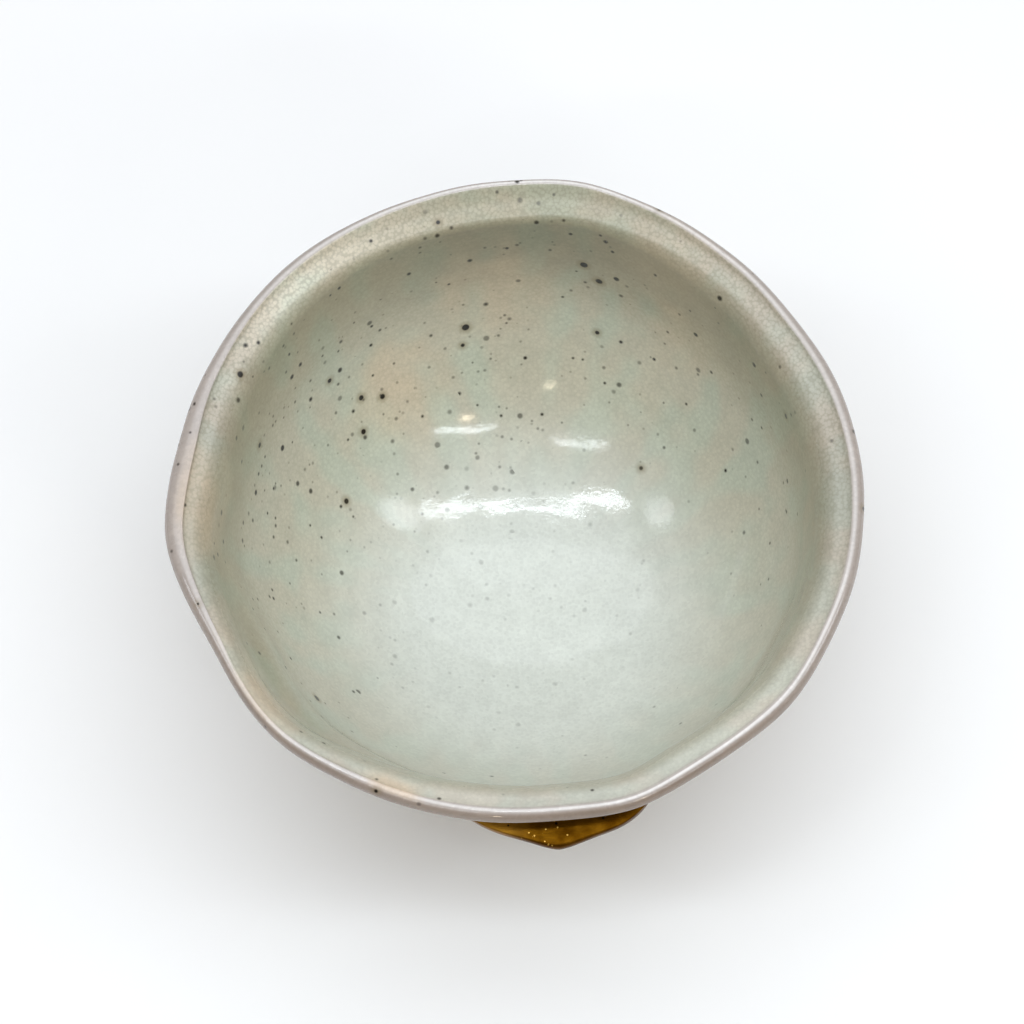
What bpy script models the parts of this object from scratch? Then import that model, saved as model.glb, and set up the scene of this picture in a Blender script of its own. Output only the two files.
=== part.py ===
"""Hand-thrown stoneware tea bowl with a gilded, leaf-shaped lug under its lip.

The bowl, its foot ring and the lug are one fired piece, so they are one closed mesh. A turned profile is
worked out for each bearing round the axis, the lug swells out of the wall between two bearings, and the whole
is then pressed a little out of round, as a potter's hands leave it. Metres, +Z up, the ground at z = 0.
Bearings are in degrees, counted from +X towards +Y, and the lug is on the -Y side.
"""
import math

import bmesh
import bpy
from mathutils import Vector
from mathutils.geometry import interpolate_bezier

# Lip and height
RIM_DIAMETER = 0.1250
BOWL_HEIGHT = 0.0700
LIP_EDGE_WIDTH = 0.0020      # from the crest out to the outermost edge
LIP_EDGE_DROP = 0.0018       # from the crest down to the outermost edge
LIP_BAND_WIDTH = 0.0058      # flattened band inside the crest
LIP_BAND_DROP = 0.0022
CREASE_RADIUS = 0.0014       # soft turn from the band to the wall
NECK_DROP = 0.0065           # from the crest down to the neck under the lip
ROUND_PULL = 0.55            # pull of a bend that makes it nearly a quarter circle

# Wall and well
WALL_THICKNESS = 0.0048
HEEL_THICKNESS = 0.0068      # the wall where it reaches the foot
UPPER_WALL_DEPTH = 0.0170    # steep part of the inner wall under the band
UPPER_WALL_LEAN = 0.0030     # how much narrower the inside is at its lower end
UPPER_WALL_ANGLE = 88        # steepness of the wall just under the band, in degrees
WELL_FULLNESS = 0.60         # 0 is a cone, 1 is nearly a flat floor
WALL_FULLNESS = 0.52
FLOOR_THICKNESS = 0.0065

# Foot
FOOT_DIAMETER = 0.0530
FOOT_RING_WIDTH = 0.0055
FOOT_FILLET = 0.0016         # hollow between the foot and the bowl
FOOT_TAPER = 0.0010          # how much narrower the foot is at the ground
FOOT_BEVEL = 0.0007
HEEL_ANGLE = 195             # way that the bowl's underside runs into the foot, in degrees
FOOT_ANGLE = 265             # way that the foot's side runs down from there
RECESS_DEPTH = 0.0050
RECESS_BOSS = 0.0008         # swelling that the trimming tool leaves in the middle

# Lug
LUG_BEARING = -83.5
LUG_LEFT = 0.0185            # along the wall, from the tip to the end on the smaller bearing
LUG_RIGHT = 0.0195
LUG_REACH = 0.0072           # from the wall out to the tip
LUG_UNDER_NECK = 0.0003      # from the neck down to the lug's upper face
LUG_TOP_FALL = 0.0006        # slope of that face
LUG_EDGE = 0.0034            # thickness of its rim
LUG_EDGE_SHARE = 0.14        # share of the reach that is the rim's round edge
LUG_ROOT = 0.0160            # height of the lug where it grows out of the wall
LUG_LEFT_ROUND = 1.6         # 1 is a straight flank, more is a fuller one
LUG_RIGHT_ROUND = 3.0
LUG_TIP_SHARE = 0.25         # share of the reach that is the pointed tip
LUG_TIP_SPREAD = 0.24

# Traces of the hands: (bearing, size, spread in degrees), fading to nothing at the foot
HAND_PRESSES = (
    (35, -0.0009, 12), (54, -0.0004, 9), (79, 0.0011, 9), (112, -0.0007, 15), (152, -0.0011, 20),
    (189, 0.0009, 8), (209, -0.0010, 7), (231, 0.0009, 10), (290, 0.0007, 6), (319, 0.0010, 8),
    (355, 0.0002, 14),
)
RIM_WAVES = ((60, 0.0005, 30), (140, -0.0005, 30), (190, 0.0005, 15), (250, -0.0004, 20), (330, 0.0004, 30))
BAND_SWELLS = ((15, 0.0018, 28), (215, -0.0014, 25))
EDGE_SWELLS = ((178, 0.0010, 20), (0, 0.0007, 22))
RIM_SHIFT_X = -0.0035        # the rim sits a little off the foot's centre
RIM_SHIFT_Y = -0.0018

# Steps along the profile and round the bowl
WELL_STEPS = 11
UPPER_WALL_STEPS = 4
CREASE_STEPS = 3
BAND_STEPS = 2
LIP_STEPS = 4
LUG_EDGE_STEPS = 4
LUG_UNDER_STEPS = 5
OUTER_STEPS = 8
FOOT_STEPS = 3
RECESS_STEPS = 4
ROUND_STEPS = 54
LUG_SIDE_STEPS = 8


def way(degrees):
    """Unit direction in the profile's plane: 0 is outwards, 90 is up."""
    return Vector((math.cos(math.radians(degrees)), math.sin(math.radians(degrees))))


def swell(bearing, bumps):
    """Height at a bearing of a row of smooth bumps."""
    total = 0.0
    for centre, size, spread in bumps:
        away = (bearing - centre + 180) % 360 - 180
        total += size * math.exp(-(away / spread) ** 2)
    return total


def bend(start, leave, end, arrive, pull_start, pull_end, steps):
    """Points of one smooth bend after its start; leave and arrive are the directions at its ends."""
    points = interpolate_bezier(start, start + leave * pull_start, end - arrive * pull_end, end, steps + 1)
    return points[1:]


def thickened(points):
    """The outer face of the wall over an inner line that runs from the floor up to the lip."""
    moved = []
    for index, point in enumerate(points):
        before = points[max(index - 1, 0)]
        after = points[min(index + 1, len(points) - 1)]
        along = (after - before).normalized()
        share = (point.y - points[0].y) / (points[-1].y - points[0].y)
        thickness = WALL_THICKNESS + (HEEL_THICKNESS - WALL_THICKNESS) * (1 - share) ** 3
        moved.append(point + Vector((along.y, -along.x)) * thickness)
    return moved


def cut_at(points, axis, value):
    """The part of a falling line from where its coordinate reaches a value, with a new point there."""
    for index in range(1, len(points)):
        high, low = points[index - 1], points[index]
        if low[axis] <= value <= high[axis]:
            share = (high[axis] - value) / max(high[axis] - low[axis], 1e-9)
            return [high.lerp(low, share)] + points[index:]
    return points[-2:]


def spaced(points, steps):
    """Evenly spaced points along a line, both ends included."""
    lengths = [0.0]
    for before, after in zip(points, points[1:]):
        lengths.append(lengths[-1] + (after - before).length)
    result = []
    index = 1
    for step in range(steps + 1):
        target = lengths[-1] * step / steps
        while index < len(points) - 1 and lengths[index] < target:
            index += 1
        span = max(lengths[index] - lengths[index - 1], 1e-9)
        result.append(points[index - 1].lerp(points[index], (target - lengths[index - 1]) / span))
    return result


def inner_profile(bearing, fine):
    """Inside of the bowl, from the middle of the floor up to the crest of the lip."""
    edge = LIP_EDGE_WIDTH + swell(bearing, EDGE_SWELLS)
    band = LIP_BAND_WIDTH + swell(bearing, BAND_SWELLS)
    crest = Vector((RIM_DIAMETER / 2 - edge, BOWL_HEIGHT))
    crease = Vector((crest.x - band, BOWL_HEIGHT - LIP_BAND_DROP))
    floor = Vector((0.0, RECESS_DEPTH + FLOOR_THICKNESS))
    shoulder_radius = RIM_DIAMETER / 2 - LIP_EDGE_WIDTH - LIP_BAND_WIDTH - UPPER_WALL_LEAN
    shoulder = Vector((shoulder_radius, crease.y - UPPER_WALL_DEPTH))
    lean = Vector((UPPER_WALL_LEAN, UPPER_WALL_DEPTH)).normalized()
    slope = (crest - crease).normalized()
    steep = way(UPPER_WALL_ANGLE)
    under = crease - steep * CREASE_RADIUS
    over = crease + slope * CREASE_RADIUS

    well = [floor] + bend(floor, way(0), shoulder, lean, WELL_FULLNESS * shoulder.x,
                          WALL_FULLNESS * (shoulder.y - floor.y), WELL_STEPS * fine)
    third = UPPER_WALL_DEPTH / 3
    wall = bend(shoulder, lean, under, steep, third, third, UPPER_WALL_STEPS * fine)
    turn = bend(under, steep, over, slope, CREASE_RADIUS / 2, CREASE_RADIUS / 2, CREASE_STEPS * fine)
    top = bend(over, slope, crest, way(0), band / 3, band / 3, BAND_STEPS * fine)
    return well, wall, turn, top


def lug_reach(bearing):
    """How far the lug stands out of the wall at a bearing."""
    away = math.radians((bearing - LUG_BEARING + 180) % 360 - 180) * RIM_DIAMETER / 2
    length, fullness = (LUG_RIGHT, LUG_RIGHT_ROUND) if away > 0 else (LUG_LEFT, LUG_LEFT_ROUND)
    share = abs(away) / length
    if share >= 1:
        return 0.0
    leaf = (1 - LUG_TIP_SHARE) * (1 - share ** fullness)
    return LUG_REACH * (leaf + LUG_TIP_SHARE * math.exp(-(share / LUG_TIP_SPREAD) ** 2) * (1 - share))


def lug_rows(fine):
    """Section of the lug as (depth under its upper face, share of the reach), from the top to the root."""
    flat_share = 1 - LUG_EDGE_SHARE
    rows = [(0.0, 0.0), (LUG_TOP_FALL / 2, flat_share / 2)]
    edge_middle = LUG_TOP_FALL + LUG_EDGE / 2
    for step in range(LUG_EDGE_STEPS * fine + 1):
        angle = math.pi / 2 - math.pi * step / (LUG_EDGE_STEPS * fine)
        depth = edge_middle - LUG_EDGE / 2 * math.sin(angle)
        rows.append((depth, flat_share + LUG_EDGE_SHARE * math.cos(angle)))
    edge_end = LUG_TOP_FALL + LUG_EDGE
    for step in range(1, LUG_UNDER_STEPS * fine + 1):
        share = step / (LUG_UNDER_STEPS * fine)
        depth = edge_end + (LUG_ROOT - edge_end) * share
        rows.append((depth, flat_share * (1 + math.cos(math.pi * share)) / 2))
    return rows


def outer_profile(bearing, inside, crest, fine):
    """Outside of the bowl, from just past the crest of the lip down to the middle of the recess."""
    edge = Vector((RIM_DIAMETER / 2, BOWL_HEIGHT - LIP_EDGE_DROP))
    shell = thickened(inside)[::-1]
    rise = (shell[0] - shell[1]).normalized()
    shell.insert(0, shell[0] + rise * (BOWL_HEIGHT - shell[0].y))
    upper = cut_at(shell, 1, BOWL_HEIGHT - NECK_DROP)
    neck = upper[0]
    fall = (upper[1] - neck).normalized()
    down = way(-90)
    lip = bend(crest, way(0), edge, down, (edge.x - crest.x) * ROUND_PULL, LIP_EDGE_DROP * ROUND_PULL,
               LIP_STEPS * fine)
    lip_depth = NECK_DROP - LIP_EDGE_DROP
    under_lip = bend(edge, down, neck, fall, lip_depth / 3, lip_depth / 2, LIP_STEPS * fine)

    reach = lug_reach(bearing)
    lug = []
    for depth, share in lug_rows(fine):
        place = cut_at(upper, 1, neck.y - LUG_UNDER_NECK - depth)[0]
        lug.append(place + Vector((reach * share, 0.0)))

    foot_radius = FOOT_DIAMETER / 2
    below = cut_at(upper, 1, neck.y - LUG_UNDER_NECK - LUG_ROOT)
    end = cut_at(below, 0, foot_radius + FOOT_FILLET)[0]
    belly = spaced([point for point in below if point.x > end.x] + [end], OUTER_STEPS * fine)[1:]
    hollow = Vector((foot_radius, end.y - FOOT_FILLET))
    pull = FOOT_FILLET * ROUND_PULL
    foot = bend(end, way(HEEL_ANGLE), hollow, way(FOOT_ANGLE), pull, pull, FOOT_STEPS * fine)

    ground = foot_radius - FOOT_TAPER
    inner_edge = foot_radius - FOOT_RING_WIDTH
    ceiling = Vector((inner_edge - FOOT_BEVEL, RECESS_DEPTH))
    foot += [Vector((ground, FOOT_BEVEL)), Vector((ground - FOOT_BEVEL, 0.0)),
             Vector((inner_edge + FOOT_BEVEL, 0.0)), Vector((inner_edge, FOOT_BEVEL)),
             Vector((inner_edge, RECESS_DEPTH - FOOT_BEVEL)), ceiling]
    middle = Vector((0.0, RECESS_DEPTH - RECESS_BOSS))
    recess = bend(ceiling, way(180), middle, way(180), ceiling.x / 3, ceiling.x / 3, RECESS_STEPS * fine)
    return lip, under_lip, lug, belly, foot, recess


def profile(bearing, fine):
    """Whole closed section at a bearing, and the number of points before the lug and after its end."""
    well, wall, turn, top = inner_profile(bearing, fine)
    inside = well + wall + turn + top
    lip, under_lip, lug, belly, foot, recess = outer_profile(bearing, well + wall, top[-1], fine)
    before = inside + lip + under_lip
    return before + lug + belly + foot + recess, len(before), len(before) + len(lug)


def hand_shaped(point, bearing):
    """A point of the turned section set at its bearing and pressed out of round."""
    angle = math.radians(bearing)
    foot_top = RECESS_DEPTH + FLOOR_THICKNESS
    height = min(max((point.y - foot_top) / (BOWL_HEIGHT - foot_top), 0.0), 1.0)
    share = height * height * (3 - 2 * height)
    radius = point.x + swell(bearing, HAND_PRESSES) * share
    x = radius * math.cos(angle) + RIM_SHIFT_X * share
    y = radius * math.sin(angle) + RIM_SHIFT_Y * share
    return Vector((x, y, point.y + swell(bearing, RIM_WAVES) * share * share))


def bearings(fine):
    """Bearings of the sections, closer together across the lug."""
    turn = math.degrees(1 / (RIM_DIAMETER / 2))
    first = LUG_BEARING - LUG_LEFT * turn
    last = LUG_BEARING + LUG_RIGHT * turn
    across = LUG_SIDE_STEPS * fine
    result = [first + (LUG_BEARING - first) * step / across for step in range(across)]
    result += [LUG_BEARING + (last - LUG_BEARING) * step / across for step in range(across)]
    around = ROUND_STEPS * fine
    result += [last + (first + 360 - last) * step / around for step in range(around)]
    return result


def bowl_mesh(name, fine=1):
    """Closed mesh of the bowl, centred over its bounding box, with its gilded faces in the second slot."""
    sections = []
    for bearing in bearings(fine):
        points, lug_start, lug_end = profile(bearing, fine)
        sections.append([hand_shaped(point, bearing) for point in points])
    everything = [point for section in sections for point in section]
    shift = Vector((0.0, 0.0, 0.0))
    for axis in (0, 1):
        shift[axis] = (min(p[axis] for p in everything) + max(p[axis] for p in everything)) / 2

    mesh = bmesh.new()
    floor = mesh.verts.new(sections[0][0] - shift)
    underside = mesh.verts.new(sections[0][-1] - shift)
    rings = [[mesh.verts.new(point - shift) for point in section[1:-1]] for section in sections]
    gilded = range(lug_start - 1, lug_end - 2)
    for column, ring in enumerate(rings):
        following = rings[(column + 1) % len(rings)]
        mesh.faces.new((floor, ring[0], following[0]))
        mesh.faces.new((underside, following[-1], ring[-1]))
        on_lug = column < 2 * LUG_SIDE_STEPS * fine
        for row in range(len(ring) - 1):
            face = mesh.faces.new((ring[row], ring[row + 1], following[row + 1], following[row]))
            face.material_index = 1 if on_lug and row in gilded else 0
    bmesh.ops.recalc_face_normals(mesh, faces=mesh.faces)
    data = bpy.data.meshes.new(name)
    mesh.to_mesh(data)
    mesh.free()
    data.shade_smooth()
    data.set_sharp_from_angle(angle=math.radians(50))
    return data, shift


def plain_material(name, colour, roughness, metallic):
    """Principled material with the same look all over."""
    material = bpy.data.materials.new(name)
    material.use_nodes = True
    shader = material.node_tree.nodes["Principled BSDF"]
    shader.inputs["Base Color"].default_value = (*colour, 1.0)
    shader.inputs["Roughness"].default_value = roughness
    shader.inputs["Metallic"].default_value = metallic
    return material


def build_bowl():
    """The one object of the part."""
    data, _ = bowl_mesh("tea_bowl")
    bowl = bpy.data.objects.new("tea_bowl", data)
    bpy.context.scene.collection.objects.link(bowl)
    data.materials.append(plain_material("celadon_glaze", (0.40, 0.40, 0.32), 0.22, 0.0))
    data.materials.append(plain_material("gold_coat", (0.17, 0.08, 0.01), 0.30, 1.0))
    return bowl


def main():
    for old in list(bpy.data.objects):
        bpy.data.objects.remove(old)
    build_bowl()


main()
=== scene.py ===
# %% [markdown]
# # A hand-thrown tea bowl, seen from above
# This lesson builds the looks of one small stoneware bowl. Its clay was thrown on a wheel, pressed a little
# out of round, dipped in a grey-green glaze that crazed into a fine net while it cooled, and given a small
# leaf of clay under the lip that wears a coat of gold. A plain solid of the same bowl is loaded first. It
# says where everything belongs, and nothing here changes its size.

# %% Load the frame
import math

import bmesh
import bpy
from mathutils import Matrix, Vector, noise
from mathutils.bvhtree import BVHTree
from mathutils.geometry import interpolate_bezier


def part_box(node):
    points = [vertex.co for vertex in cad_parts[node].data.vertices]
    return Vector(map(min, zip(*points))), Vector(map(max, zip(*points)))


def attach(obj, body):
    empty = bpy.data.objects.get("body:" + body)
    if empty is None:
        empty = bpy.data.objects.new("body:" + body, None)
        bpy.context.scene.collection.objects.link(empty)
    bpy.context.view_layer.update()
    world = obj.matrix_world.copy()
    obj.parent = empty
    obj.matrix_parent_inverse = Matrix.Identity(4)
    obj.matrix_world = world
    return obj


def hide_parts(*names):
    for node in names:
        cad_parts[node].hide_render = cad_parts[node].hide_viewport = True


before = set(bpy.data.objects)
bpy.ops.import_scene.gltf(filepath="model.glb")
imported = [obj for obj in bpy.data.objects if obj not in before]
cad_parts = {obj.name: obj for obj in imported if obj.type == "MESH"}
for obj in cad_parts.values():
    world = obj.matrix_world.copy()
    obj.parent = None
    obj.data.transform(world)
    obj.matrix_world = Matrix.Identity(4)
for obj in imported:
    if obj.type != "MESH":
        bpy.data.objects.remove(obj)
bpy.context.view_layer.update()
MM = 0.001

# %% [markdown]
# ## The camera
# A camera is a place, a direction and a lens. The rim of the bowl is nearly a circle, and the picture shows
# it as an oval 0.92 times as high as it is wide, so we look down at about 68 degrees. A long lens from half
# a metre keeps the oval from opening too much at the near side. Aiming at a point near the rim's middle
# frames the bowl without any lens shift.

# %% Camera
LOOK_DOWN = math.radians(67.61)
LOOK_AT = Vector((-0.0006, -0.0033, 0.0682))
DISTANCE = 0.55
LENS = 107.55

camera_data = bpy.data.cameras.new("camera")
camera_data.lens = LENS
camera_data.sensor_width = 36
camera_data.clip_start = 0.01
camera = bpy.data.objects.new("camera", camera_data)
camera.location = LOOK_AT + Vector((0, -math.cos(LOOK_DOWN), math.sin(LOOK_DOWN))) * DISTANCE
camera.rotation_euler = (math.radians(90) - LOOK_DOWN, 0, 0)
bpy.context.scene.collection.objects.link(camera)
bpy.context.scene.camera = camera
print("camera at, mm:", [round(value / MM) for value in camera.location])

# %% [markdown]
# ## Nodes and colours
# Every material below is a net of small nodes. One helper adds a node, sets its own settings by name, and
# fills its sockets: with a number, or with a wire when the value is another node's output. Colours are
# easiest to choose as screen hex values, but Blender mixes light in linear numbers, so one function turns
# hex to linear.

# %% Helpers for materials
def node(tree, kind, sockets=None, **settings):
    """Add a node; settings are its properties, and sockets are numbers or the outputs that feed them."""
    made = tree.nodes.new(kind)
    for name, value in settings.items():
        setattr(made, name, value)
    for name, value in (sockets or {}).items():
        if isinstance(value, bpy.types.NodeSocket):
            tree.links.new(value, made.inputs[name])
        else:
            made.inputs[name].default_value = value
    return made


def linear(hex_colour):
    """Linear red, green, blue and alpha of an sRGB hex colour such as #d2d8d0."""
    parts = [int(hex_colour[start:start + 2], 16) / 255 for start in (1, 3, 5)]
    return [part / 12.92 if part <= 0.04045 else ((part + 0.055) / 1.055) ** 2.4 for part in parts] + [1.0]


def new_material(name):
    """An empty node material and its Principled shader."""
    material = bpy.data.materials.new(name)
    material.use_nodes = True
    return material, material.node_tree, material.node_tree.nodes["Principled BSDF"]


print("white is", linear("#ffffff"))

# %% [markdown]
# ## Floor and light
# The bowl stands on a pale painted board. White surroundings give the soft fill of a light tent, so the
# shadow is only a soft dark place under the overhanging wall. Glossy surfaces see an area light, so the
# shape of a light is the shape of its reflection, and the hollow of the bowl shows it turned left for
# right. A broad softbox above the camera and the top of the tent lay a grey sheen over the far half of the
# well. The long tube overhead is mirrored as the bright streak and as a thin line round the lip, which a
# painted highlight in the glaze's colour makes whiter and wider, and the short piece at its end lifts the
# streak there. Two short tubes in front are the thin streaks above it, two round lamps at the sides the
# pale patches at its ends, and two small warm lamps the warm glints. The back panel is the strongest: it
# lights the well and the near wall from behind, so the shadow falls in front of the bowl.

# %% Floor
FLOOR_HALF = 3.0
corners = [(-FLOOR_HALF, -FLOOR_HALF, 0), (FLOOR_HALF, -FLOOR_HALF, 0),
           (FLOOR_HALF, FLOOR_HALF, 0), (-FLOOR_HALF, FLOOR_HALF, 0)]
floor_mesh = bpy.data.meshes.new("floor")
floor_mesh.from_pydata(corners, [], [(0, 1, 2, 3)])
floor = bpy.data.objects.new("floor", floor_mesh)
bpy.context.scene.collection.objects.link(floor)

# Matt white paint on board, a little cloudy
board, tree, shader = new_material("painted_board")
place = node(tree, "ShaderNodeTexCoord").outputs["Object"]
cloudy = node(tree, "ShaderNodeTexNoise", {"Vector": place, "Scale": 9.0, "Detail": 3.0}).outputs["Fac"]
tone = node(tree, "ShaderNodeMix", {0: cloudy, 6: linear("#f4f3f3"), 7: linear("#f8f8f8")}, data_type="RGBA")
tree.links.new(tone.outputs[2], shader.inputs["Base Color"])
shader.inputs["Roughness"].default_value = 0.6
floor_mesh.materials.append(board)


# %% Lights
COOL_WHITE, WARM_WHITE, TENT_WHITE = "#f0f8ff", "#ffeccc", "#ffebd8"
TENT_STRENGTH = 0.21
LIGHTS_AIM = Vector((0, 0, 0.02))
# Name, place, width and height in metres, power in watts, shape and colour
PANELS = (("softbox", (0.0, -0.59, 1.18), 1.7, 0.75, 1.9, "RECTANGLE", COOL_WHITE),
          ("tent_top", (0.0, 0.10, 1.40), 1.7, 0.9, 3.4, "ELLIPSE", COOL_WHITE),
          ("tube", (0.19, -0.10, 0.90), 0.94, 0.062, 2.4, "RECTANGLE", COOL_WHITE),
          ("tube_end", (-0.37, -0.15, 0.90), 0.30, 0.065, 0.95, "RECTANGLE", COOL_WHITE),
          ("back_panel", (0.0, 0.72, 1.46), 2.6, 1.3, 11.2, "ELLIPSE", COOL_WHITE),
          ("short_tube_right", (0.40, -0.54, 0.61), 0.38, 0.03, 0.75, "RECTANGLE", COOL_WHITE),
          ("short_tube_left", (-0.265, -0.49, 0.71), 0.31, 0.022, 0.42, "RECTANGLE", COOL_WHITE),
          ("side_lamp_right", (0.69, -0.02, 0.62), 0.27, 0.18, 0.58, "ELLIPSE", COOL_WHITE),
          ("side_lamp_left", (-0.64, -0.05, 0.61), 0.25, 0.17, 0.42, "ELLIPSE", COOL_WHITE),
          ("warm_lamp", (0.37, -0.61, 0.54), 0.08, 0.05, 0.22, "ELLIPSE", WARM_WHITE),
          ("low_warm_lamp", (-0.08, -0.78, 0.42), 0.045, 0.035, 0.10, "ELLIPSE", WARM_WHITE))


def panel_light(name, place, width, height, power, shape, colour):
    """A flat light at a place, turned to the bowl, with its width along the world's X as near as can be."""
    data = bpy.data.lights.new(name, "AREA")
    data.shape = shape
    data.size = width
    data.size_y = height
    data.energy = power
    data.color = linear(colour)[:3]
    light = bpy.data.objects.new(name, data)
    away = (Vector(place) - LIGHTS_AIM).normalized()
    across = (Vector((1, 0, 0)) - away * away.x).normalized()
    light.matrix_world = Matrix((across, away.cross(across), away)).transposed().to_4x4()
    light.location = place
    bpy.context.scene.collection.objects.link(light)


for panel in PANELS:
    panel_light(*panel)

world = bpy.data.worlds.new("light_tent")
world.use_nodes = True
world.node_tree.nodes["Background"].inputs["Color"].default_value = linear(TENT_WHITE)
world.node_tree.nodes["Background"].inputs["Strength"].default_value = TENT_STRENGTH
bpy.context.scene.world = world
bpy.context.scene.view_settings.view_transform = "Standard"

# %% [markdown]
# ## The sizes of the bowl
# A thrown pot is a turned profile, so a few heights and widths say nearly everything: the lip, the
# flattened band inside it, the wall's thickness, the floor, the foot ring. Nearly the same numbers made the
# solid. Its crease, band and lip are simpler by a millimetre or two, so both fit.

# %% Sizes, in metres
RIM_DIAMETER = 125 * MM
BOWL_HEIGHT = 70 * MM
LIP_EDGE_WIDTH = 2.0 * MM
LIP_EDGE_DROP = 1.8 * MM
LIP_BAND_WIDTH = 5.8 * MM
LIP_BAND_DROP = 3.0 * MM
CREASE_RADIUS = 3.6 * MM
NECK_DROP = 6.5 * MM
# How far along a bend's direction its handle stands: for a round quarter, for the band, and for its crest
ROUND_PULL = 0.55
BAND_PULL = 0.6
CREST_PULL = 1.2 * MM
# How steeply the band leaves the crease, as a share of an even slope
BAND_STEEPNESS = 0.35
# What the near side adds to those three, which makes the band an even slope up to a crisp crest
NEAR_BAND_PULL = -0.2
NEAR_CREST_PULL = -0.6 * MM
NEAR_BAND_STEEPNESS = 0.65
WALL_THICKNESS = 4.8 * MM
HEEL_THICKNESS = 6.8 * MM
UPPER_WALL_DEPTH = 17 * MM
UPPER_WALL_LEAN = 3 * MM
UPPER_WALL_ANGLE = 81
WELL_FULLNESS = 0.60
WALL_FULLNESS = 0.52
FLOOR_THICKNESS = 6.5 * MM
FOOT_DIAMETER = 53 * MM
FOOT_RING_WIDTH = 5.5 * MM
FOOT_FILLET = 1.6 * MM
FOOT_TAPER = 1.0 * MM
FOOT_BEVEL = 0.7 * MM
HEEL_ANGLE = 195
FOOT_ANGLE = 265
RECESS_DEPTH = 5.0 * MM
RECESS_BOSS = 0.8 * MM

LUG_BEARING = -83.5
LUG_LEFT = 18.5 * MM
LUG_RIGHT = 19.5 * MM
LUG_REACH = 6.8 * MM
LUG_UNDER_NECK = 0.3 * MM
LUG_TOP_FALL = 0.6 * MM
LUG_EDGE = 3.4 * MM
LUG_EDGE_SHARE = 0.14
LUG_ROOT = 16 * MM
LUG_LEFT_ROUND = 2.1
LUG_RIGHT_ROUND = 3.0
LUG_TIP_SHARE = 0.25
LUG_TIP_SPREAD = 0.30

# Each trace of a hand is a bearing, a size and a spread in degrees
HAND_PRESSES = ((35, -0.9 * MM, 12), (52, -0.6 * MM, 9), (79, 0.85 * MM, 9), (112, -0.7 * MM, 15),
                (130, -0.3 * MM, 12), (154, -1.1 * MM, 18), (171, -0.3 * MM, 6), (189, 0.9 * MM, 8),
                (209, -0.85 * MM, 9), (229, 0.75 * MM, 10), (289, 1.0 * MM, 8), (321, 0.85 * MM, 10),
                (343, 0.45 * MM, 12), (2, 0.25 * MM, 12))
RIM_WAVES = ((60, 0.5 * MM, 30), (140, -0.5 * MM, 30), (190, 0.5 * MM, 15), (250, -0.4 * MM, 20),
             (330, 0.4 * MM, 30))
BAND_SWELLS = ((15, 0.6 * MM, 28), (90, 1.0 * MM, 25), (215, -2.4 * MM, 26))
CREASE_SWELLS = ((95, -2.4 * MM, 45),)
EDGE_SWELLS = ((178, 1.2 * MM, 18), (300, -0.35 * MM, 50), (90, -0.9 * MM, 45), (225, -0.7 * MM, 22))
# The near side of the band, as a bearing, a share and a spread in degrees
EVEN_SIDE = ((295, 1.0, 75),)
RIM_SHIFT = Vector((-3.5 * MM, -1.8 * MM))

solid_low, solid_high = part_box("tea_bowl")
print("solid is", [round(value / MM, 1) for value in solid_high - solid_low], "mm;",
      "the rim alone is", RIM_DIAMETER / MM, "mm across")

# %% [markdown]
# ## One section of the wall
# The section is a chain of short smooth bends. Each bend is given the directions at its two ends, so
# neighbouring bends meet smoothly, as clay does under a rib. The outer wall isn't drawn at all: it is the
# inner wall moved out by the thickness of the clay, which is how a pot really gets its outside.


# %% Bends and offsets
def way(degrees):
    """Unit direction in the section's plane: 0 is outwards, 90 is up."""
    return Vector((math.cos(math.radians(degrees)), math.sin(math.radians(degrees))))


def swell(bearing, bumps):
    """Height at a bearing of a row of smooth bumps."""
    total = 0.0
    for centre, size, spread in bumps:
        away = (bearing - centre + 180) % 360 - 180
        total += size * math.exp(-(away / spread) ** 2)
    return total


def bend(start, leave, end, arrive, pull_start, pull_end, steps):
    """Points of one smooth bend after its start; leave and arrive are the directions at its ends."""
    points = interpolate_bezier(start, start + leave * pull_start, end - arrive * pull_end, end, steps + 1)
    return points[1:]


def thickened(points):
    """The outer face of the wall over an inner line that runs from the floor up to the lip."""
    moved = []
    for index, point in enumerate(points):
        before = points[max(index - 1, 0)]
        after = points[min(index + 1, len(points) - 1)]
        along = (after - before).normalized()
        share = (point.y - points[0].y) / (points[-1].y - points[0].y)
        thickness = WALL_THICKNESS + (HEEL_THICKNESS - WALL_THICKNESS) * (1 - share) ** 3
        moved.append(point + Vector((along.y, -along.x)) * thickness)
    return moved


def cut_at(points, axis, value):
    """The part of a falling line from where its coordinate reaches a value, with a new point there."""
    for index in range(1, len(points)):
        high, low = points[index - 1], points[index]
        if low[axis] <= value <= high[axis]:
            share = (high[axis] - value) / max(high[axis] - low[axis], 1e-9)
            return [high.lerp(low, share)] + points[index:]
    return points[-2:]


def spaced(points, steps):
    """Evenly spaced points along a line, both ends included."""
    lengths = [0.0]
    for before, after in zip(points, points[1:]):
        lengths.append(lengths[-1] + (after - before).length)
    result = []
    index = 1
    for step in range(steps + 1):
        target = lengths[-1] * step / steps
        while index < len(points) - 1 and lengths[index] < target:
            index += 1
        span = max(lengths[index] - lengths[index - 1], 1e-9)
        result.append(points[index - 1].lerp(points[index], (target - lengths[index - 1]) / span))
    return result


# %% Inside of the bowl
FINE = 4
WELL_STEPS, UPPER_WALL_STEPS, CREASE_STEPS, BAND_STEPS = 12 * FINE, 5 * FINE, 2 * FINE, 4 * FINE


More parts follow.
